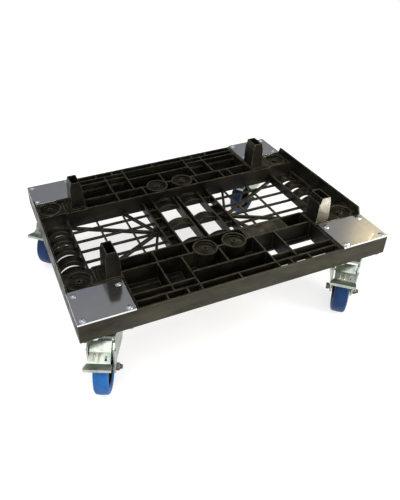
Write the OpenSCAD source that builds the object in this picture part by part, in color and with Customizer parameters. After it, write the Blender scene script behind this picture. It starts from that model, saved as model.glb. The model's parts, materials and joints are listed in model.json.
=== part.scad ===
// Moulded furniture dolly on four braked swivel casters.
// Millimetres. X runs along the deck's long side, Y along its short side, Z up.
// The origin is the centre of the deck, level with the deck's top face.

/* [Deck] */
// Length of the deck
deck_l = 800; // [800:10:840]
// Width of the deck
deck_w = 600; // [600:10:640]
// Depth of the moulding below its top face
deck_h = 50; // [48:1:60]
// Thickness of the outer walls and the main ribs
wall = 4; // [3:0.5:5]
// Thickness of the lighter ribs and the floors
rib = 3; // [2:0.5:4]
// Rise of the long walls around the load well above the deck
rim_rise = 2; // [0:0.5:4]
// Rise of the short end walls above the deck
end_rise = 22; // [12:1:30]

/* [Load surfaces] */
// Depth of the saddle crests below the deck
saddle_drop = 22; // [16:1:28]
// Bulge of a centre saddle between its two sides
saddle_rise = 10; // [6:0.5:12]
// Bulge of an end saddle between its two sides
end_saddle_rise = 16; // [12:0.5:18]
// Outside radius of the round bosses
boss_r = 31; // [29:0.5:32]
// Radius of the hole in each boss
boss_hole_r = 4.25; // [3:0.25:6]

/* [Corner plates] */
// Length of a cover plate
cover_l = 131; // [125:1:134]
// Width of a cover plate
cover_w = 105; // [100:1:105]
// Thickness of a cover plate
cover_t = 4; // [2:0.5:6]
// Bolt spacing along the deck
bolt_x = 105; // [95:1:105]
// Bolt spacing across the deck
bolt_y = 80; // [70:1:80]

/* [Corner stops] */
// Height of a stop above the deck
stop_h = 78; // [50:1:100]
// Depth of a stop across the deck
stop_depth = 46; // [40:1:46]

/* [Casters] */
// Height of the deck's top face above the floor
deck_top = 216; // [214:1:230]
// Wheel diameter
wheel_d = 125; // [120:1:125]
// Width of the tyre
tyre_w = 35; // [28:1:38]
// Distance of the wheel's axle behind the swivel axis
trail = 45; // [44:1:48]
// Angle of the front left caster, clockwise from pointing forwards
swivel_front_left = 24; // [0:1:359]
// Angle of the front right caster
swivel_front_right = 41; // [0:1:359]
// Angle of the rear left caster
swivel_rear_left = 42; // [0:1:359]
// Angle of the rear right caster
swivel_rear_right = 57; // [0:1:359]

/* [Hidden] */
$fn = 64;

half_l = deck_l / 2;
half_w = deck_w / 2;
bottom = -deck_h;

// The load well, the end columns and the corner boxes
well_y = 127;
rail_y = 171;
corner_x = half_l - cover_l - 7;
corner_y = half_w - cover_w;
column_in_x = half_l - 78;
column_out_x = half_l - 9;
boss_y = 162;
end_boss_x = half_l - 39;
mid_boss_x = 40;
bolt_cx = half_l - 66;
bolt_cy = half_w - 50;
stop_cx = half_l - 116;

// Ribs of the long rails: distances from the centre line
rib_r1 = half_w - 24;
rib_r2 = half_w - 47;
rib_r3 = half_w - 69;
bay_left = -108;
bay_right = 92;
shallow = 18;

// The centre beam
slot_x = 5;
saddle_in_x = 9;
saddle_out_x = 68;
beam_x = 103;
beam_top = -24;

// The windows' grids
grid_t = 6;
bar_thick = 5.5;
bar_thin = 4.5;
bar_pitch = 45.5;
bars_y = [half_l - 236, half_l - 158];

// Fasteners
bolt_r = 4;
clear = 0.4;
nut_h = 6.5;

// Caster: heights are in the dolly's frame, and -Y is the trailing side
axle_z = wheel_d / 2 - deck_top;
mount_t = 4;
mount_z = bottom;
mount_l = 128;
mount_w = 96;
race_r = 36;
race_bottom = mount_z - 11;
ball_r = 3.5;
ball_ring_r = 27;
ball_count = 14;
crown_top = mount_z - 13;
crown_t = 5;
fork_t = 4;
fork_gap = 48;
shoulder_x = 39;
king_r = 6;
axle_r = 5;
bush_r = 8;
hub_r = 47;
hub_w = 42;
brake_pin_y = -58;
brake_pin_z = mount_z - 33.5;
brake_pin_r = 3;
pedal_w = 66;
cover_half = 24;

CORNERS = ["front_left", "front_right", "rear_left", "rear_right"];
CORNER_SIGN = [[-1, -1], [1, -1], [-1, 1], [1, 1]];
SWIVEL = [swivel_front_left, swivel_front_right, swivel_rear_left, swivel_rear_right];
DECK_NODES = ["front_rail", "rear_rail", "left_end_beam", "right_end_beam",
              "centre_beam", "left_grid", "right_grid", "plate_bolts", "plate_nuts"];
CORNER_NODES = ["corner_stop", "cover_plate", "caster_plate", "kingpin", "race_balls", "fork",
                "axle_bolt", "brake_pin", "brake_pedal", "wheel_hub", "wheel_bush", "tyre"];

PLASTIC = [0.11, 0.11, 0.1];
ZINC = [0.72, 0.77, 0.74];
STEEL = [0.3, 0.3, 0.3];
BLUE = [0.1, 0.36, 0.78];

// ---------------------------------------------------------------- helpers

// A box between two opposite corners
module block(low, high) {
    translate(low)
        cube(high - low);
}

// A bar of rectangular section between two points of the XY plane
module bar(from, to, width, low, high) {
    run = to - from;
    translate([from.x, from.y, low])
        rotate([0, 0, atan2(run.y, run.x)])
            translate([0, -width / 2, 0])
                cube([norm(run), width, high - low]);
}

// A cross wall of a rail, running along Y at one place along X
module cross(x, y_from, y_to, thick = rib) {
    block([x - thick / 2, y_from, bottom], [x + thick / 2, y_to, 0]);
}

// The four bolt places of each corner
module at_corner_bolts(corner) {
    sign = CORNER_SIGN[corner];
    for (dx = [-1, 1], dy = [-1, 1])
        translate([sign.x * bolt_cx + dx * bolt_x / 2, sign.y * bolt_cy + dy * bolt_y / 2, 0])
            children();
}

// A caster's own frame: the swivel axis is Z and the wheel trails towards -Y
module at_caster(corner) {
    sign = CORNER_SIGN[corner];
    translate([sign.x * bolt_cx, sign.y * bolt_cy, 0])
        rotate([0, 0, -SWIVEL[corner]])
            children();
}

// A cross saddle: an arched band with a raised rim along each edge, closed below or open
module saddle(x_from, x_to, y_from, y_to, rise, closed) {
    chord = x_to - x_from;
    radius = (chord * chord / 4 + rise * rise) / (2 * rise);
    rim_w = 3;
    dip = 4.5;
    band_t = 7.5;
    middle = (x_from + x_to) / 2;
    low = -saddle_drop - dip - radius;
    module rod(from, to, z, r) {
        translate([middle, from, z])
            rotate([-90, 0, 0])
                cylinder(r = r, h = to - from, $fn = 128);
    }
    intersection() {
        block([x_from, y_from, closed ? -saddle_drop - rise - 9 : bottom], [x_to, y_to, 0]);
        difference() {
            union() {
                rod(y_from - 1, y_to + 1, low, radius);
                rod(y_from - 1, y_from + rim_w, low + dip, radius);
                rod(y_to - rim_w, y_to + 1, low + dip, radius);
            }
            if (!closed)
                rod(y_from - 2, y_to + 2, low, radius - band_t);
        }
    }
}

// The ring, dished floor and centre nub of a boss
module boss() {
    dish = 6;
    nub_r = 8;
    difference() {
        translate([0, 0, bottom])
            cylinder(r = boss_r, h = deck_h + 1.5);
        translate([0, 0, -dish])
            cylinder(r = boss_r - rib, h = dish + rim_rise + 3);
        translate([0, 0, bottom - 1])
            cylinder(r = boss_r - rib, h = deck_h - dish - rib + 1);
    }
    translate([0, 0, bottom])
        cylinder(r = nub_r, h = deck_h);
}

// The hole through a boss
module boss_hole() {
    translate([0, 0, bottom - 1])
        cylinder(r = boss_hole_r, h = deck_h + 10);
}

// ---------------------------------------------------------------- deck

// The bay between two cross walls with a closed floor and a foot ledge
module floor_bay(x_from, x_to, y_to) {
    block([x_from, rail_y, bottom], [x_to, y_to, bottom + rib]);
}

// The foot ledge at the base of a long wall
module ledge(x_from, x_to, y_from) {
    block([x_from, y_from, bottom], [x_to, y_from + 13, bottom + 5.5]);
}

// A shallow rib with a flange along its lower edge
module flanged_rib(x_from, x_to) {
    flange = 8;
    block([x_from, rib_r2 - rib / 2, -shallow - rib], [x_to, rib_r2 + rib / 2, 0]);
    block([x_from, rib_r2 - flange, -shallow - rib], [x_to, rib_r2 + flange, -shallow]);
}

// The ribbed corner under a cover plate, with a sleeve for each bolt
module corner_box() {
    sleeve_r = 9;
    seat = bottom + mount_t;
    block([corner_x, corner_y, -5], [half_l, half_w, 0]);
    block([half_l - wall, corner_y, bottom], [half_l, half_w, 0]);
    block([corner_x, corner_y, bottom], [half_l, corner_y + wall, 0]);
    for (x = [bolt_cx - bolt_x / 2, bolt_cx + bolt_x / 2], y = [bolt_cy - bolt_y / 2, bolt_cy + bolt_y / 2])
        translate([x, y, seat])
            cylinder(r = sleeve_r, h = -seat);
    for (x = [bolt_cx - bolt_x / 2, bolt_cx, bolt_cx + bolt_x / 2])
        block([x - rib / 2, corner_y, seat], [x + rib / 2, half_w - 1, 0]);
    for (y = [bolt_cy - bolt_y / 2, bolt_cy, bolt_cy + bolt_y / 2])
        block([corner_x, y - rib / 2, seat], [half_l - 1, y + rib / 2, 0]);
}

// The walls that run the whole length of a rail
module rail_walls() {
    block([-half_l, half_w - wall, bottom], [half_l, half_w, 0]);
    for (wall_y = [well_y, rail_y]) {
        block([-column_in_x, wall_y - wall, bottom], [column_in_x, wall_y, 0]);
        block([-corner_x, wall_y - wall, -1], [corner_x, wall_y, rim_rise]);
    }
    block([-corner_x, well_y, bottom], [corner_x, rail_y, bottom + rib]);
    for (side = [-1, 1]) {
        cross(side * (corner_x + wall / 2), well_y, half_w, wall);
        block([side * (corner_x + column_in_x) / 2 - (column_in_x - corner_x) / 2, well_y + 8, -wall],
              [side * (corner_x + column_in_x) / 2 + (column_in_x - corner_x) / 2, corner_y, 0]);
    }
    for (x = [-167, -84, 78, 167, 196])
        cross(x, well_y, rail_y);
}

// The three bays of ribs between the load well and the outer face
module rail_bays(closed) {
    if (closed)
        block([-corner_x, rail_y, bottom], [corner_x, half_w, bottom + rib]);
    ledge(-corner_x, corner_x, rail_y);
    floor_bay(-corner_x, bay_left, rib_r2 - 1);
    block([-corner_x, rib_r2 - 1, bottom], [-142, half_w, bottom + rib]);
    floor_bay(bay_left, bay_right, half_w);
    ledge(bay_left, bay_right, rib_r3 + 14);
    block([bay_left, rib_r3 - wall / 2, bottom], [bay_right, rib_r3 + wall / 2, 0]);
    flanged_rib(-corner_x, bay_left);
    flanged_rib(bay_right, corner_x);
    block([-corner_x, rib_r1 - rib / 2, -shallow], [corner_x, rib_r1 + rib / 2, 0]);
    cross(bay_left, rail_y, half_w);
    cross(bay_right, rail_y, half_w);
    cross(-170, rail_y, rib_r1);
    cross(-9, rail_y, rib_r3);
    cross(152, rail_y, rib_r1);
    for (x = [-192, -142, -9, 128, 178])
        cross(x, rib_r1, half_w);
}

// One long rail, drawn on the +Y side
module rail(panels, closed) {
    difference() {
        union() {
            difference() {
                union() {
                    rail_walls();
                    rail_bays(closed);
                }
                for (x = [-mid_boss_x, mid_boss_x])
                    translate([x, boss_y, bottom - 1])
                        cylinder(r = boss_r - 0.5, h = deck_h + 10);
            }
            for (x = [-mid_boss_x, mid_boss_x])
                translate([x, boss_y, 0])
                    boss();
            for (panel = panels)
                block([panel[0], well_y - 1, -rib], [panel[1], rail_y - 1, 0]);
            for (side = [0, 1])
                mirror([side, 0, 0])
                    corner_box();
        }
        for (x = [-mid_boss_x, mid_boss_x])
            translate([x, boss_y, 0])
                boss_hole();
        for (corner = [2, 3])
            at_corner_bolts(corner)
                translate([0, 0, bottom - 1])
                    cylinder(r = bolt_r + clear, h = deck_h + 2);
        for (side = [-1, 1])
            translate([side * bolt_cx, bolt_cy, bottom - 1 + (mount_t + 1) / 2])
                cube([mount_l + 0.6, mount_w + 0.6, mount_t + 1], center = true);
    }
}

module front_rail() {
    color(PLASTIC)
        mirror([0, 1, 0])
            rail([[82, 164], [169, 193]], false);
}

module rear_rail() {
    color(PLASTIC)
        rail([], true);
}

// A short end of the deck, drawn on the +X side: a tall outer wall and a column of saddles
module end_beam() {
    saddle_w = 27;
    saddle_pitch = 45.5;
    slope = 7;
    difference() {
        union() {
            translate([half_l - wall, 0, 0])
                rotate([90, 0, 90])
                    linear_extrude(wall)
                        polygon([[-corner_y, bottom], [corner_y, bottom], [corner_y, 4],
                                 [corner_y - slope, end_rise], [slope - corner_y, end_rise],
                                 [-corner_y, 4]]);
            block([column_out_x, -well_y, bottom], [half_l - wall, well_y, beam_top]);
            block([column_in_x, -corner_y, bottom], [column_in_x + wall + 1, corner_y, beam_top + 1]);
            for (i = [-2:2])
                saddle(column_in_x + wall + 1, column_out_x,
                       i * saddle_pitch - saddle_w / 2, i * saddle_pitch + saddle_w / 2,
                       end_saddle_rise, false);
            for (side = [0, 1])
                mirror([0, side, 0])
                    end_boss_seat();
        }
        for (y = [-boss_y, boss_y])
            translate([end_boss_x, y, 0])
                boss_hole();
    }
}

// The closed end of a saddle column, with its boss
module end_boss_seat() {
    difference() {
        union() {
            block([column_in_x, well_y, -wall], [half_l - wall, corner_y, 0]);
            block([column_in_x, well_y, bottom], [half_l - wall, well_y + rib, 0]);
            block([column_in_x, corner_y - rib, bottom], [half_l - wall, corner_y, 0]);
        }
        translate([end_boss_x, boss_y, bottom - 1])
            cylinder(r = boss_r - 0.5, h = deck_h + 10);
    }
    translate([end_boss_x, boss_y, 0])
        boss();
}

module left_end_beam() {
    color(PLASTIC)
        mirror([1, 0, 0])
            end_beam();
}

module right_end_beam() {
    color(PLASTIC)
        end_beam();
}

// The beam between the two windows: two columns of saddles, a centre slot and two side slots
module centre_beam() {
    inner_y = well_y - wall;
    mid_saddle = 15;
    end_saddle = 82;
    hub_pad_r = 15;
    color(PLASTIC)
    union() {
        block([-slot_x, -inner_y, bottom], [slot_x, inner_y, bottom + rib]);
        for (side = [0, 1])
            mirror([side, 0, 0]) {
                block([slot_x, -inner_y, bottom], [saddle_in_x, inner_y, beam_top]);
                block([saddle_out_x, -inner_y, bottom], [saddle_out_x + wall, inner_y, beam_top - 1]);
                block([beam_x - wall, -inner_y, bottom], [beam_x, inner_y, beam_top + 1]);
                saddle(saddle_in_x, saddle_out_x, -mid_saddle, mid_saddle, saddle_rise, true);
                saddle(saddle_in_x, saddle_out_x, end_saddle, inner_y, saddle_rise, true);
                saddle(saddle_in_x, saddle_out_x, -inner_y, -end_saddle, saddle_rise, true);
                intersection() {
                    translate([beam_x, 0, bottom])
                        cylinder(r = hub_pad_r, h = 14);
                    block([saddle_out_x, -inner_y, bottom], [beam_x, inner_y, 0]);
                }
                for (y = [-90, -45, 0, 45, 90])
                    block([saddle_out_x, y - rib / 2, bottom], [beam_x, y + rib / 2, beam_top - 8]);
            }
        block([-beam_x, -inner_y, bottom], [-saddle_out_x, inner_y, bottom + rib]);
        for (span = [[-inner_y, -84], [-50, 48], [82, 97], [116, inner_y]])
            block([saddle_out_x, span[0], bottom], [beam_x, span[1], bottom + rib]);
    }
}

// The grid of one window, drawn on the +X side
module window_grid() {
    inner_y = well_y - wall;
    top = bottom + grid_t;
    hub = [beam_x, 0];
    fan = [[[column_in_x + 4, inner_y - 4], top + 3], [[bars_y[0] - 4, inner_y + 4], top + 2]];
    union() {
        for (i = [-2:2])
            block([beam_x, i * bar_pitch - bar_thick / 2, bottom],
                  [column_in_x, i * bar_pitch + bar_thick / 2, top]);
        for (x = bars_y)
            block([x - bar_thin / 2, -inner_y, bottom], [x + bar_thin / 2, inner_y, top - 0.5]);
        intersection() {
            block([beam_x, -inner_y, bottom - 1], [column_in_x, inner_y, top + 20]);
            union() {
                for (side = [-1, 1], ray = fan)
                    bar(hub, [ray[0].x, side * ray[0].y], 7, bottom, ray[1]);
                translate([hub.x, hub.y, bottom])
                    cylinder(r = 15, h = 14);
            }
        }
    }
}

module left_grid() {
    color(PLASTIC)
        mirror([1, 0, 0])
            window_grid();
}

module right_grid() {
    color(PLASTIC)
        window_grid();
}

// ---------------------------------------------------------------- corner pieces

// A hollow post that locates the load, with a foot that stands on the deck
module corner_stop(corner) {
    sign = CORNER_SIGN[corner];
    base_w = 38;
    top_w = 24;
    shoulder = 62;
    shell = 2.5;
    out_y = corner_y - 7;
    in_y = out_y - stop_depth;
    function outline(inset) = [
        [-base_w / 2 + inset, rim_rise], [base_w / 2 - inset, rim_rise],
        [base_w / 2 - 2 - inset, shoulder], [top_w / 2 - inset + 1, stop_h],
        [-top_w / 2 + inset + 1, stop_h], [-top_w / 2 + inset - 1, shoulder],
        [-base_w / 2 + 3 + inset, shoulder]];
    color(PLASTIC)
    mirror([sign.x < 0 ? 1 : 0, 0, 0])
    mirror([0, sign.y < 0 ? 1 : 0, 0])
    translate([stop_cx, 0, 0]) {
        difference() {
            translate([0, out_y, 0])
                rotate([90, 0, 0])
                    linear_extrude(stop_depth)
                        polygon(outline(0));
            translate([-base_w / 2 + 3 + shell, in_y + shell, shell + rim_rise])
                cube([base_w - 5 - 2 * shell, stop_depth - 2 * shell, shoulder - shell - rim_rise]);
            translate([-top_w / 2 + shell, in_y + shell, shoulder - 1])
                cube([top_w - 2 * shell + 1, stop_depth - 2 * shell, stop_h]);
        }
        block([-22, out_y - 1, 0], [53, out_y + 6, 6]);
        block([-22, in_y, 0], [30, out_y, rim_rise + 1]);
    }
}

// The aluminium plate on top of a corner
module cover_plate(corner) {
    sign = CORNER_SIGN[corner];
    color([0.8, 0.81, 0.83])
    difference() {
        mirror([sign.x < 0 ? 1 : 0, 0, 0])
        mirror([0, sign.y < 0 ? 1 : 0, 0])
            block([half_l - cover_l, half_w - cover_w, 0], [half_l, half_w, cover_t]);
        at_corner_bolts(corner)
            translate([0, 0, -1])
                cylinder(r = bolt_r + clear, h = cover_t + 2);
    }
}

// The sixteen dome-headed bolts that clamp cover plate, deck and caster together
module plate_bolts() {
    head_r = 7.5;
    head_h = 4;
    shank = deck_h + nut_h + 2;
    color(ZINC)
    for (corner = [0:3])
        at_corner_bolts(corner)
            translate([0, 0, cover_t]) {
                intersection() {
                    cylinder(r = head_r, h = head_h);
                    translate([0, 0, head_h - 9])
                        sphere(r = 9);
                }
                translate([0, 0, -cover_t - shank])
                    cylinder(r = bolt_r, h = cover_t + shank + 0.5);
            }
}

// The nuts under the caster plates
module plate_nuts() {
    color(ZINC)
    for (corner = [0:3])
        at_corner_bolts(corner)
            translate([0, 0, mount_z - nut_h])
                difference() {
                    cylinder(r = 7.5, h = nut_h, $fn = 6);
                    translate([0, 0, -1])
                        cylinder(r = bolt_r + 0.05, h = nut_h + 2);
                }
}

// ---------------------------------------------------------------- casters

// The bolted plate with the upper cup of the swivel race pressed into it
module caster_plate(corner) {
    sign = CORNER_SIGN[corner];
    color(ZINC)
    difference() {
        union() {
            translate([sign.x * bolt_cx, sign.y * bolt_cy, mount_z + mount_t / 2])
                cube([mount_l, mount_w, mount_t], center = true);
            at_caster(corner)
                translate([0, 0, race_bottom])
                    cylinder(r1 = race_r, r2 = race_r - 2, h = mount_z - race_bottom + 0.5);
        }
        at_corner_bolts(corner)
            translate([0, 0, mount_z - 1])
                cylinder(r = bolt_r + clear, h = mount_t + 2);
        at_caster(corner)
            translate([0, 0, race_bottom]) {
                rotate_extrude()
                    translate([ball_ring_r, 0])
                        circle(r = ball_r + 0.3, $fn = 32);
                translate([0, 0, -1])
                    cylinder(r = king_r, h = 30);
            }
    }
}

// The kingpin, riveted through the race and carrying the fork's crown
module kingpin(corner) {
    color(STEEL)
    at_caster(corner) {
        translate([0, 0, crown_top - crown_t - 5])
            cylinder(r = king_r, h = mount_z + mount_t - crown_top + crown_t + 5);
        translate([0, 0, crown_top - crown_t - 5.4])
            cylinder(r = 11, h = 5);
    }
}

// The balls of the swivel race
module race_balls(corner) {
    color([0.8, 0.8, 0.82])
    at_caster(corner)
        for (i = [0:ball_count - 1])
            rotate([0, 0, i * 360 / ball_count])
                translate([ball_ring_r, 0, race_bottom])
                    sphere(r = ball_r, $fn = 32);
}

// The pressed fork: a crown and two legs, wide round the swivel and narrow at the pedal
module fork(corner) {
    leg_x = fork_gap / 2 + fork_t;
    shoulder_z = crown_top - 52;
    ankle_z = axle_z + 13.5;
    leg_end = axle_z - 13;
    under = crown_top - crown_t;
    module across(outline) {
        translate([0, 60, 0])
            rotate([90, 0, 0])
                linear_extrude(160)
                    polygon([for (side = [1, -1], i = [0:len(outline) - 1])
                        let (q = outline[side > 0 ? i : len(outline) - 1 - i]) [side * q.x, q.y]]);
    }
    module plan(front_x, rear_x, shift) {
        translate([0, 0, leg_end - 20])
            linear_extrude(crown_top - leg_end + 40)
                polygon([[front_x, 62], [front_x, 14 + shift], [rear_x, shift - 36], [rear_x, -82],
                         [-rear_x, -82], [-rear_x, shift - 36], [-front_x, 14 + shift], [-front_x, 62]]);
    }
    color(ZINC)
    at_caster(corner)
    difference() {
        union() {
            intersection() {
                across([[shoulder_x - 3, crown_top], [shoulder_x, crown_top - 3],
                        [shoulder_x, shoulder_z], [leg_x, ankle_z], [leg_x, leg_end]]);
                plan(41, 31, 0);
                translate([-60, 0, 0])
                    rotate([90, 0, 90])
                        linear_extrude(120)
                            union() {
                                polygon([
                                    [36, crown_top + 1], [36, crown_top - 10], [31, crown_top - 30],
                                    [20, crown_top - 50], [-2, crown_top - 72], [-32, axle_z - 6],
                                    [-58, axle_z - 4], [-62, axle_z + 14], [-66, crown_top - 44],
                                    [-68, crown_top - 23], [-64, crown_top - 14], [-50, under - 2],
                                    [-40, under - 1], [-39, crown_top + 1]]);
                                translate([-trail, axle_z])
                                    circle(r = 14.5);
                            }
            }
            translate([0, 0, crown_top - crown_t])
                cylinder(r = shoulder_x - 1, h = crown_t);
        }
        intersection() {
            across([[shoulder_x - fork_t - 4, under], [shoulder_x - fork_t, under - 4],
                    [shoulder_x - fork_t, shoulder_z], [leg_x - fork_t, ankle_z],
                    [leg_x - fork_t, leg_end - 5]]);
            plan(41 - fork_t, 31 - fork_t, 0.4);
        }
        translate([0, 0, crown_top - crown_t - 1])
            cylinder(r = king_r + 0.08, h = crown_t + 2);
        translate([0, 0, race_bottom])
            rotate_extrude()
                translate([ball_ring_r, 0])
                    circle(r = ball_r + 0.3, $fn = 32);
        translate([-60, -trail, axle_z])
            rotate([0, 90, 0])
                cylinder(r = axle_r, h = 120);
        translate([-60, brake_pin_y, brake_pin_z])
            rotate([0, 90, 0])
                cylinder(r = brake_pin_r, h = 120);
    }
}

// The axle bolt with its nut
module axle_bolt(corner) {
    head_h = 6;
    collar = 4;
    side = fork_gap / 2 + fork_t;
    color(STEEL)
    at_caster(corner)
        translate([0, -trail, axle_z])
            rotate([0, 90, 0]) {
                translate([0, 0, -side])
                    cylinder(r = axle_r, h = 2 * side + 15);
                translate([0, 0, -side - collar])
                    cylinder(r = 7.5, h = collar);
                translate([0, 0, -side - collar - head_h])
                    cylinder(r = 9, h = head_h, $fn = 6);
                translate([0, 0, side])
                    cylinder(r = 9, h = 8, $fn = 6);
            }
}

// The pin that the brake pedal turns on
module brake_pin(corner) {
    side = 33;
    color(STEEL)
    at_caster(corner)
        translate([-side, brake_pin_y, brake_pin_z])
            rotate([0, 90, 0])
                cylinder(r = brake_pin_r, h = 2 * side);
}

// The brake pedal: an apron over the wheel, side cheeks, a flanged lip and the brake shoe
module brake_pedal(corner) {
    sheet = 2.5;
    drop = 2.8;
    eye_r = 6.5;
    neck = [-44, mount_z - 20];
    crease = [-67, mount_z - 31];
    heel = [-93, mount_z - 38];
    lip = [-111, mount_z - 37.5];
    half = pedal_w / 2;
    color(ZINC)
    at_caster(corner)
    difference() {
        union() {
            intersection() {
                translate([-half - 1, 0, 0])
                    rotate([90, 0, 90])
                        linear_extrude(pedal_w + 2)
                            polygon([neck, crease, heel, lip, [lip.x, lip.y - 7],
                                     [lip.x + sheet, lip.y - 7], [lip.x + sheet, lip.y - drop],
                                     [heel.x, heel.y - drop], [crease.x, crease.y - drop],
                                     [neck.x, neck.y - drop]]);
                translate([0, 0, mount_z - 70])
                    linear_extrude(60)
                        polygon([[-cover_half, -40], [cover_half, -40], [cover_half, -90], [28, -97],
                                 [28, -130], [-half, -130], [-half, -104], [-cover_half, -88]]);
            }
            for (side = [-1, 1])
                translate([side * (cover_half - sheet / 2) - sheet / 2, 0, 0])
                    rotate([90, 0, 90])
                        linear_extrude(sheet)
                            union() {
                                polygon([[neck.x - 1, neck.y - 1.5], [crease.x, crease.y - 1.5],
                                         [heel.x + 1, heel.y - 1.5], [heel.x + 3, heel.y - 6],
                                         [crease.x - 8, crease.y - 12], [crease.x + 1, crease.y - 7],
                                         [brake_pin_y, brake_pin_z - 4], [brake_pin_y + 6, brake_pin_z + 1]]);
                                translate([brake_pin_y, brake_pin_z])
                                    circle(r = eye_r);
                            }
            translate([-14, 0, 0])
                rotate([90, 0, 90])
                    linear_extrude(28)
                        polygon([[-71, crease.y - 2], [-84, crease.y - 5], [-84, crease.y - 17],
                                 [-71, crease.y - 10.5]]);
        }
        translate([-60, brake_pin_y, brake_pin_z])
            rotate([0, 90, 0])
                cylinder(r = brake_pin_r + 0.06, h = 120);
        translate([11.5, -87, mount_z - 60])
            cube([5, 12, 40]);
    }
}

// The moulded wheel centre, bored for the roller bush
module wheel_hub(corner) {
    web = 9;
    rim_in = hub_r - 7;
    core_r = 15;
    color(PLASTIC)
    at_caster(corner)
        translate([0, -trail, axle_z])
            rotate([0, 90, 0])
                difference() {
                    union() {
                        cylinder(r = hub_r, h = tyre_w - 6, center = true, $fn = 128);
                        cylinder(r = core_r, h = hub_w, center = true);
                    }
                    cylinder(r = bush_r, h = hub_w + 2, center = true);
                    for (side = [0, 1])
                        mirror([0, 0, side])
                            translate([0, 0, web / 2])
                                difference() {
                                    cylinder(r = rim_in, h = hub_w);
                                    translate([0, 0, -1])
                                        cylinder(r = core_r, h = hub_w + 2);
                                }
                }
}

// The bush that runs on the axle
module wheel_bush(corner) {
    color([0.7, 0.7, 0.68])
    at_caster(corner)
        translate([0, -trail, axle_z])
            rotate([0, 90, 0])
                difference() {
                    cylinder(r = bush_r, h = hub_w + 2, center = true);
                    cylinder(r = axle_r + 0.06, h = hub_w + 4, center = true);
                }
}

// The blue elastic tyre with rounded shoulders
module tyre(corner) {
    tyre_r = wheel_d / 2;
    shoulder = 7;
    crown = 1.2;
    color(BLUE)
    at_caster(corner)
        translate([0, -trail, axle_z])
            rotate([0, 90, 0])
                rotate_extrude($fn = 128)
                    union() {
                        polygon([[hub_r, -tyre_w / 2 + 3], [hub_r + 3, -tyre_w / 2],
                                 [tyre_r - shoulder, -tyre_w / 2], [tyre_r - shoulder, tyre_w / 2],
                                 [hub_r + 3, tyre_w / 2], [hub_r, tyre_w / 2 - 3]]);
                        polygon([[tyre_r - shoulder - 1, -tyre_w / 2 + shoulder],
                                 [tyre_r - crown / 2, -tyre_w / 2 + shoulder], [tyre_r, -3],
                                 [tyre_r, 3], [tyre_r - crown / 2, tyre_w / 2 - shoulder],
                                 [tyre_r - shoulder - 1, tyre_w / 2 - shoulder]]);
                        for (side = [-1, 1])
                            translate([tyre_r - shoulder - crown / 2, side * (tyre_w / 2 - shoulder)])
                                circle(r = shoulder);
                    }
}

// ---------------------------------------------------------------- the nodes

front_rail();
rear_rail();
left_end_beam();
right_end_beam();
centre_beam();
left_grid();
right_grid();
plate_bolts();
plate_nuts();
for (i = [0:3]) {
    corner_stop(i);
    cover_plate(i);
    caster_plate(i);
    kingpin(i);
    race_balls(i);
    fork(i);
    axle_bolt(i);
    brake_pin(i);
    brake_pedal(i);
    wheel_hub(i);
    wheel_bush(i);
    tyre(i);
}
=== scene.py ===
import json
import math

import bmesh
import bpy
from mathutils import Matrix, Vector


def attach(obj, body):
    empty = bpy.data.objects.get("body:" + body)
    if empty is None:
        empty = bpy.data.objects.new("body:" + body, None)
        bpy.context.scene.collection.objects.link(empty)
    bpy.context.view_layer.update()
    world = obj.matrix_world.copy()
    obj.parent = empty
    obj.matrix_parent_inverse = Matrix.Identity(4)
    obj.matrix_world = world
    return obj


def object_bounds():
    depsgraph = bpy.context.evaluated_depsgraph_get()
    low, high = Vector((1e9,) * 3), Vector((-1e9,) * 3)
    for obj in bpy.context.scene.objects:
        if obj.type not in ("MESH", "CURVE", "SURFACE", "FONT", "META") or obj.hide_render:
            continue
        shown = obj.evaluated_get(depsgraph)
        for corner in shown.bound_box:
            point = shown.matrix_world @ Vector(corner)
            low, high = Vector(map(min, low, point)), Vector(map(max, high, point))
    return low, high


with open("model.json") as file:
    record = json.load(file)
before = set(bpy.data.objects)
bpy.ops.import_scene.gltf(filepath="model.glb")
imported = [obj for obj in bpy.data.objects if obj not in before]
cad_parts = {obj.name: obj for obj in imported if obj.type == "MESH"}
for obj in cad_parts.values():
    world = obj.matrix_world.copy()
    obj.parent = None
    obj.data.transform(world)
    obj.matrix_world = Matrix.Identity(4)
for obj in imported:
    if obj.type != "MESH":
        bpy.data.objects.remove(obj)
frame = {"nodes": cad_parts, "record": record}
cad_box = [list(map(float, corner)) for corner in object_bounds()]

CORNERS = ("front_left", "front_right", "rear_left", "rear_right")
joints = {j["name"]: j for j in frame["record"]["behaviour"]["joints"]}

# ------------------------------------------------------------------ camera

CAMERA_AT = Vector((-0.50607, -1.06391, 0.78930))
RIGHT = Vector((0.9324, -0.3603, -0.0266))
UP = Vector((0.2247, 0.5207, 0.8237))
BACK = Vector((-0.2829, -0.7740, 0.5666))

camera_data = bpy.data.cameras.new("camera")
camera_data.sensor_width = 36
camera_data.lens = 37.13
camera_data.shift_x = 0.0953
camera_data.shift_y = -0.0658
camera_data.clip_end = 50
camera = bpy.data.objects.new("camera", camera_data)
camera.matrix_world = Matrix((
    (RIGHT.x, UP.x, BACK.x, CAMERA_AT.x),
    (RIGHT.y, UP.y, BACK.y, CAMERA_AT.y),
    (RIGHT.z, UP.z, BACK.z, CAMERA_AT.z),
    (0, 0, 0, 1)))
bpy.context.scene.collection.objects.link(camera)
bpy.context.scene.camera = camera


# --------------------------------------------------------------- materials

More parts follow.
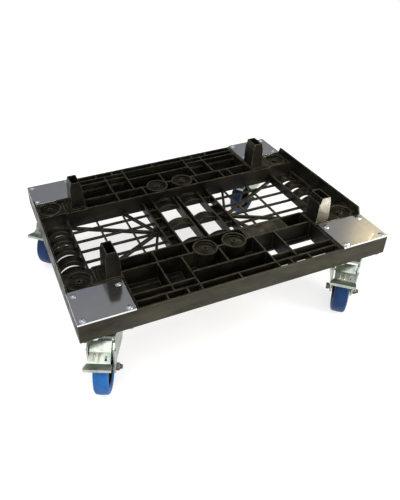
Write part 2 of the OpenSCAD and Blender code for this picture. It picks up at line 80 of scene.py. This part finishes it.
class Shader:
    """A small wrapper for building one node material."""

    def __init__(self, name, metallic=0.0, roughness=0.5, specular=0.5):
        self.mat = bpy.data.materials.new(name)
        self.mat.use_nodes = True
        self.tree = self.mat.node_tree
        self.bsdf = self.tree.nodes["Principled BSDF"]
        self.bsdf.inputs["Metallic"].default_value = metallic
        self.bsdf.inputs["Roughness"].default_value = roughness
        self.bsdf.inputs["Specular IOR Level"].default_value = specular
        self.coords = self.node("ShaderNodeTexCoord").outputs["Object"]

    def node(self, kind, **values):
        made = self.tree.nodes.new(kind)
        for key, value in values.items():
            setattr(made, key, value)
        return made

    def link(self, source, target):
        self.tree.links.new(source, target)

    def noise(self, scale, detail=4.0, rough=0.55, stretch=(1, 1, 1)):
        mapping = self.node("ShaderNodeMapping")
        mapping.inputs["Scale"].default_value = stretch
        self.link(self.coords, mapping.inputs["Vector"])
        tex = self.node("ShaderNodeTexNoise")
        tex.inputs["Scale"].default_value = scale
        tex.inputs["Detail"].default_value = detail
        tex.inputs["Roughness"].default_value = rough
        self.link(mapping.outputs["Vector"], tex.inputs["Vector"])
        return tex.outputs["Fac"]

    def ramp(self, source, low, high, out_low=0.0, out_high=1.0):
        rng = self.node("ShaderNodeMapRange")
        rng.inputs["From Min"].default_value = low
        rng.inputs["From Max"].default_value = high
        rng.inputs["To Min"].default_value = out_low
        rng.inputs["To Max"].default_value = out_high
        self.link(source, rng.inputs["Value"])
        return rng.outputs["Result"]

    def mix(self, factor, first, second):
        made = self.node("ShaderNodeMix", data_type="RGBA")
        self.link(factor, made.inputs["Factor"])
        for value, socket in ((first, made.inputs["A"]), (second, made.inputs["B"])):
            if isinstance(value, tuple):
                socket.default_value = (*value, 1)
            else:
                self.link(value, socket)
        return made.outputs["Result"]

    def times(self, a, b):
        made = self.node("ShaderNodeMath", operation="MULTIPLY")
        self.link(a, made.inputs[0])
        self.link(b, made.inputs[1])
        return made.outputs["Value"]

    def edges(self, radius, low=0.02, high=0.25):
        """1 along the edges of the shape and 0 on its faces."""
        bevel = self.node("ShaderNodeBevel", samples=6)
        bevel.inputs["Radius"].default_value = radius
        flat = self.node("ShaderNodeNewGeometry")
        dot = self.node("ShaderNodeVectorMath", operation="DOT_PRODUCT")
        self.link(bevel.outputs["Normal"], dot.inputs[0])
        self.link(flat.outputs["Normal"], dot.inputs[1])
        return self.ramp(dot.outputs["Value"], 1 - low, 1 - high)

    def finish(self, color, roughness=None, height=None, strength=0.2, distance=0.0004,
               round_edges=0.0008):
        """Joins colour, roughness, rounded edges and a fine bump, and returns the material."""
        self.link(color, self.bsdf.inputs["Base Color"])
        if roughness is not None:
            self.link(roughness, self.bsdf.inputs["Roughness"])
        bevel = self.node("ShaderNodeBevel", samples=4)
        bevel.inputs["Radius"].default_value = round_edges
        normal = bevel.outputs["Normal"]
        if height is not None:
            bump = self.node("ShaderNodeBump")
            bump.inputs["Strength"].default_value = strength
            bump.inputs["Distance"].default_value = distance
            self.link(height, bump.inputs["Height"])
            self.link(normal, bump.inputs["Normal"])
            normal = bump.outputs["Normal"]
        self.link(normal, self.bsdf.inputs["Normal"])
        return self.mat


# The deck's outer front face, painted lighter as if lit from the front and patchy with scuffs, lies
# past the first of these, in metres along Y
LIT_FRONT_FULL_Y, LIT_FRONT_NONE_Y = -0.2985, -0.2965


def plastic(name, dark=(0.0018, 0.0018, 0.0014), light=(0.008, 0.0074, 0.0044),
            edge_wear_and_highlight=(0.155, 0.146, 0.100), lit_scuffed_front=True):
    s = Shader(name, roughness=0.5, specular=0.11)
    cloud = s.ramp(s.noise(13, 6, 0.62), 0.36, 0.66)
    base = s.mix(cloud, dark, light)
    flow = s.ramp(s.noise(38, 7, 0.7, (0.22, 1, 1)), 0.52, 0.76, 0, 0.65)
    base = s.mix(flow, base, (0.024, 0.022, 0.013))
    scratch = s.ramp(s.noise(130, 9, 0.8, (0.06, 1, 1)), 0.66, 0.74, 0, 0.45)
    base = s.mix(scratch, base, (0.12, 0.115, 0.08))
    if lit_scuffed_front:
        # The deck's outer front face is painted lighter: painted light from the front, broken up in
        # a patchy scuffed pattern; never on a part that moves
        place = s.node("ShaderNodeSeparateXYZ")
        s.link(s.node("ShaderNodeNewGeometry").outputs["Position"], place.inputs["Vector"])
        front = s.ramp(place.outputs["Y"], LIT_FRONT_FULL_Y, LIT_FRONT_NONE_Y, 1, 0)
        lit_scuffs = s.ramp(s.noise(26, 8, 0.7, (0.3, 1, 1)), 0.30, 0.68, 0.15, 1)
        base = s.mix(s.times(front, lit_scuffs), base, (0.044, 0.041, 0.029))
    # Edges painted lighter: partly wear, partly painted highlight along the rib tops
    patchy = s.ramp(s.noise(60, 4), 0.35, 0.65, 0.15, 0.95)
    base = s.mix(s.times(s.edges(0.0020), patchy), base, edge_wear_and_highlight)
    rough = s.ramp(s.noise(30, 4), 0.3, 0.7, 0.28, 0.56)
    return s.finish(base, rough, s.noise(1500, 3), 0.16, 0.0002, 0.0009)


def brushed(name, color, tint, rough, stretch=(1, 18, 18)):
    s = Shader(name, metallic=1.0, roughness=rough[0])
    base = s.mix(s.ramp(s.noise(9, 4), 0.35, 0.7), color, tint)
    lines = s.noise(90, 6, 0.65, stretch)
    rough_out = s.ramp(lines, 0.3, 0.7, *rough)
    return s.finish(base, rough_out, lines, 0.03, 0.00005, 0.0006)


def zinc(name, color=(0.27, 0.33, 0.30), tint=(0.50, 0.51, 0.42)):
    s = Shader(name, metallic=1.0, roughness=0.3)
    base = s.mix(s.ramp(s.noise(34, 5), 0.35, 0.7), color, tint)
    grime = s.ramp(s.noise(80, 8, 0.7), 0.55, 0.78, 0, 0.7)
    base = s.mix(grime, base, (0.07, 0.07, 0.055))
    # Edges painted near white: partly worn bare metal, partly painted highlight
    base = s.mix(s.edges(0.0012), base, (0.86, 0.87, 0.82))
    rough = s.ramp(s.noise(120, 5), 0.3, 0.7, 0.24, 0.42)
    return s.finish(base, rough, s.noise(420, 4), 0.1, 0.0002, 0.0007)


def rubber(name, low, high, dusty):
    s = Shader(name, roughness=0.5, specular=0.2)
    base = s.mix(s.ramp(s.noise(22, 4), 0.35, 0.7), low, high)
    dust = s.ramp(s.noise(120, 8, 0.75), 0.60, 0.80, 0, 0.35)
    base = s.mix(dust, base, dusty)
    rough = s.ramp(s.noise(60, 4), 0.3, 0.7, 0.36, 0.56)
    return s.finish(base, rough, s.noise(700, 3), 0.12, 0.0003, 0.0012)


MATERIALS = {
    "black_plastic": plastic("black_plastic"),
    "hub_plastic": plastic("hub_plastic", (0.003, 0.003, 0.003), (0.010, 0.010, 0.010),
                           (0.05, 0.05, 0.046), lit_scuffed_front=False),
    "aluminium_plate": brushed("aluminium_plate", (0.70, 0.73, 0.80), (0.84, 0.83, 0.80),
                               (0.09, 0.19)),
    "zinc_steel": zinc("zinc_steel"),
    "dark_steel": zinc("dark_steel", (0.045, 0.05, 0.05), (0.11, 0.105, 0.09)),
    "bearing_steel": brushed("bearing_steel", (0.80, 0.80, 0.82), (0.70, 0.70, 0.72),
                             (0.08, 0.2), (1, 1, 1)),
    "bush_steel": brushed("bush_steel", (0.60, 0.60, 0.58), (0.50, 0.49, 0.45),
                          (0.25, 0.4), (1, 1, 1)),
    # The blue tyre is darkened with painted shade: the tyres under the deck stand in shade
    "blue_tyre": rubber("blue_tyre", (0.0015, 0.016, 0.066), (0.004, 0.034, 0.120),
                        (0.05, 0.065, 0.10)),
}
# Two looks that single nodes take in place of their slot's; the front left tyre's is a lighter, lit
# copy of the blue tyre: painted light
LIT_TYRE = rubber("lit_tyre", (0.004, 0.070, 0.260), (0.012, 0.125, 0.390),
                    (0.16, 0.20, 0.30))
BOLT_ZINC = zinc("bolt_zinc", (0.16, 0.18, 0.23), (0.36, 0.38, 0.42))

for part in frame["record"]["subparts"]:
    node = frame["nodes"][part["node"]]
    node.data.materials.clear()
    look = MATERIALS[part["material_slot"]]
    if part["node"] in ("plate_bolts", "plate_nuts"):
        look = BOLT_ZINC
    # The front left tyre takes the lighter, lit copy of the blue tyre: painted light
    if part["node"] == "tyre_front_left":
        look = LIT_TYRE
    node.data.materials.append(look)


# ----------------------------------------------------------------- details

MM = 0.001


def caster_frame(corner):
    """Origin on the swivel axis at Z = 0, X along the axle, wheel towards -Y."""
    at = joints["swivel_" + corner]["pos_m"]
    x_axis = Vector(joints["wheel_" + corner]["axis"]).normalized()
    y_axis = Vector((0, 0, 1)).cross(x_axis)
    return Matrix((
        (x_axis.x, y_axis.x, 0, at[0]),
        (x_axis.y, y_axis.y, 0, at[1]),
        (0, 0, 1, 0),
        (0, 0, 0, 1)))


def axle_frame(corner):
    """Origin at the wheel's centre, Z along the axle."""
    base = caster_frame(corner)
    turned = base.to_3x3() @ Matrix(((0, 0, 1), (0, 1, 0), (-1, 0, 0)))
    made = turned.to_4x4()
    made.translation = joints["wheel_" + corner]["pos_m"]
    return made


def piece(name, bm, where, body, slot, smooth=True):
    """Turns a bmesh drawn in millimetres into a piece that rides on a body."""
    bmesh.ops.recalc_face_normals(bm, faces=bm.faces)
    mesh = bpy.data.meshes.new(name)
    bm.to_mesh(mesh)
    bm.free()
    mesh.transform(where @ Matrix.Scale(MM, 4))
    for face in mesh.polygons:
        face.use_smooth = smooth
    mesh.materials.append(MATERIALS[slot])
    obj = bpy.data.objects.new(name, mesh)
    bpy.context.scene.collection.objects.link(obj)
    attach(obj, body)


def lathe(bm, profile, steps=96):
    """A closed profile of (radius, height) points turned about Z."""
    rings = []
    for i in range(steps):
        a = 2 * math.pi * i / steps
        rings.append([bm.verts.new((r * math.cos(a), r * math.sin(a), h)) for r, h in profile])
    for i, ring in enumerate(rings):
        after = rings[(i + 1) % steps]
        for k in range(len(profile)):
            j = (k + 1) % len(profile)
            bm.faces.new((ring[k], ring[j], after[j], after[k]))


RIB_TOP = 0.75  # a rib's half width at the top, as a share of that at its foot


def ridge(bm, start, end, half, low, high):
    """A rib with a narrower, slightly sunk top between two points of the XY plane."""
    run = (Vector(end) - Vector(start)).normalized()
    side = Vector((-run.y, run.x))
    loops = []
    for z, w, inset in ((low, half, 0), (high - 0.5, half * 0.9, 0.4), (high, half * RIB_TOP, 1.0)):
        a, b = Vector(start) + run * inset, Vector(end) - run * inset
        outline = (a - side * w, b - side * w, b + side * w, a + side * w)
        loops.append([bm.verts.new((q.x, q.y, z)) for q in outline])
    for lower, upper in zip(loops, loops[1:]):
        for k in range(4):
            j = (k + 1) % 4
            bm.faces.new((lower[k], lower[j], upper[j], upper[k]))
    bm.faces.new(loops[0][::-1])
    bm.faces.new(loops[-1])


# Millimetres
HUB_RIBS = 10                 # on each side of a hub
HUB_CORE_R, HUB_RIM_R = 14.6, 40.4
HUB_RIB_TURN = 0.31           # radians between the two sides' ribs
BEAD_X = (-12, -1)            # the pedal's two beads, along the axle
BEAD_START = (-69, -81.6)     # Y and Z of the end nearer the swivel axis
BEAD_LENGTH = 22
BEAD_HALF_WIDTH = 2.6
BEAD_STEPS = 12

for corner in CORNERS:
    axle = axle_frame(corner)
    caster = caster_frame(corner)
    back = axle.inverted()
    half_tyre = max((back @ v.co).z for v in frame["nodes"]["tyre_" + corner].data.vertices) / MM

    # the moulded line round each side of the tyre
    bm = bmesh.new()
    for side in (-1, 1):
        line = ((51.6, -0.5), (51.9, 0.3), (52.6, 0.6), (53.3, 0.3), (53.6, -0.5))
        lathe(bm, [(radius, side * (half_tyre + above)) for radius, above in line])
    piece("tyre_lines_" + corner, bm, axle, "wheel_" + corner, "blue_tyre")

    # radial ribs between the hub's core and rim
    bm = bmesh.new()
    for side in (-1, 1):
        for i in range(HUB_RIBS):
            a = 2 * math.pi * i / HUB_RIBS + (HUB_RIB_TURN if side > 0 else 0)
            ridge(bm, (HUB_CORE_R * math.cos(a), HUB_CORE_R * math.sin(a)),
                  (HUB_RIM_R * math.cos(a), HUB_RIM_R * math.sin(a)),
                  1.5, side * 4.2, side * 10.5)
    piece("hub_ribs_" + corner, bm, axle, "wheel_" + corner, "hub_plastic", False)

    # the rolled seal at the mouth of the swivel race
    bm = bmesh.new()
    lathe(bm, [(34.6, -59.5), (36.6, -59.8), (37.1, -58.6), (36.5, -57.4), (34.4, -57.2)])
    piece("race_seal_" + corner, bm, caster, "deck", "dark_steel")

    # the locking collar of the axle nut
    bm = bmesh.new()
    lathe(bm, [(5.05, 35.8), (7.4, 35.8), (7.2, 37.2), (6.2, 38.0), (5.05, 38.0)], 48)
    piece("nut_collar_" + corner, bm, axle, "swivel_" + corner, "dark_steel")

    # two pressed beads that stiffen the pedal's apron
    bm = bmesh.new()
    rise = Vector((0, -26, -7)).normalized()
    out = Vector((0, -0.26, 0.966))
    for x in BEAD_X:
        rows = []
        for i in range(BEAD_STEPS + 1):
            u = i / BEAD_STEPS
            width = BEAD_HALF_WIDTH * math.sqrt(max(0.0, 1 - (2 * u - 1) ** 8)) + 0.05
            centre = Vector((x, *BEAD_START)) + rise * (BEAD_LENGTH * u)
            rows.append([bm.verts.new(centre + Vector((width * c, 0, 0))
                                      + out * (h * 1.5 * width / 2.65 - 0.3))
                         for c, h in ((-1, 0), (-0.6, 0.75), (0, 1), (0.6, 0.75), (1, 0))])
        for a, b in zip(rows, rows[1:]):
            for k in range(4):
                bm.faces.new((a[k], a[k + 1], b[k + 1], b[k]))
            bm.faces.new((a[4], a[0], b[0], b[4]))
        bm.faces.new(rows[0])
        bm.faces.new(rows[-1][::-1])
    piece("pedal_beads_" + corner, bm, caster, "brake_" + corner, "zinc_steel")

# ----------------------------------------------------------------- staging

FLOOR_HALF = 20
floor_mesh = bpy.data.meshes.new("floor")
floor_mesh.from_pydata(
    [(x * FLOOR_HALF, y * FLOOR_HALF, 0) for x, y in ((-1, -1), (1, -1), (1, 1), (-1, 1))],
    [], [(0, 1, 2, 3)])
floor = bpy.data.objects.new("floor", floor_mesh)
floor.location.z = cad_box[0][2]
bpy.context.scene.collection.objects.link(floor)
floor_shader = Shader("floor", roughness=0.9, specular=0.1)
floor_shader.bsdf.inputs["Base Color"].default_value = (0.40, 0.40, 0.40, 1)
floor_shader.bsdf.inputs["Emission Color"].default_value = (1, 1, 1, 1)
floor_shader.bsdf.inputs["Emission Strength"].default_value = 0.66
floor_mesh.materials.append(floor_shader.mat)

world = bpy.data.worlds.new("studio")
world.use_nodes = True
wt = world.node_tree
background = wt.nodes["Background"]
background.inputs["Strength"].default_value = 1.0


def world_node(kind, **values):
    made = wt.nodes.new(kind)
    for key, value in values.items():
        setattr(made, key, value)
    return made


# A bright room with a dim far wall and a warm spot in it, which the level plates mirror
direction = world_node("ShaderNodeTexCoord").outputs["Generated"]
toward = world_node("ShaderNodeVectorMath", operation="DOT_PRODUCT")
toward.inputs[1].default_value = (0.283, 0.774, 0.567)  # the middle of the wall
wt.links.new(direction, toward.inputs[0])
fade = world_node("ShaderNodeMapRange")
fade.inputs["From Min"].default_value = 0.74
fade.inputs["From Max"].default_value = 0.93
wt.links.new(toward.outputs["Value"], fade.inputs["Value"])
wall = world_node("ShaderNodeMix", data_type="RGBA")
wall.inputs["A"].default_value = (1.06, 1.05, 1.03, 1)
wall.inputs["B"].default_value = (0.22, 0.225, 0.235, 1)
wt.links.new(fade.outputs["Result"], wall.inputs["Factor"])
near = world_node("ShaderNodeVectorMath", operation="DOT_PRODUCT")
near.inputs[1].default_value = (0.622, 0.548, 0.560)  # the middle of the warm spot
wt.links.new(direction, near.inputs[0])
glow_fade = world_node("ShaderNodeMapRange")
glow_fade.inputs["From Min"].default_value = 0.9991
glow_fade.inputs["From Max"].default_value = 0.99985
wt.links.new(near.outputs["Value"], glow_fade.inputs["Value"])
glow = world_node("ShaderNodeMix", data_type="RGBA")
glow.inputs["B"].default_value = (1.25, 1.02, 0.62, 1)
wt.links.new(glow_fade.outputs["Result"], glow.inputs["Factor"])
wt.links.new(wall.outputs["Result"], glow.inputs["A"])
wt.links.new(glow.outputs["Result"], background.inputs["Color"])
bpy.context.scene.world = world


def lamp(name, place, target, size, power, color=(1, 1, 1)):
    data = bpy.data.lights.new(name, "AREA")
    data.energy = power
    data.size = size
    data.color = color
    obj = bpy.data.objects.new(name, data)
    obj.location = place
    obj.rotation_euler = (Vector(target) - Vector(place)).to_track_quat("-Z", "Y").to_euler()
    bpy.context.scene.collection.objects.link(obj)


lamp("key", (1.7, -2.3, 1.0), (0.2, -0.1, -0.08), 1.0, 58, (1.0, 0.92, 0.76))
lamp("top", (-0.7, -0.5, 2.6), (0, 0, 0), 2.4, 42)
lamp("warm", (1.05, 1.25, 1.35), (0.33, -0.25, 0), 0.35, 5, (1.0, 0.86, 0.58))
# Stands in for the light that the front right plate throws on the stop beside it
lamp("plate_bounce", (0.372, -0.285, 0.016), (0.300, -0.205, 0.05), 0.04, 1.2, (1.0, 0.90, 0.72))
bpy.context.scene.view_settings.view_transform = "Standard"
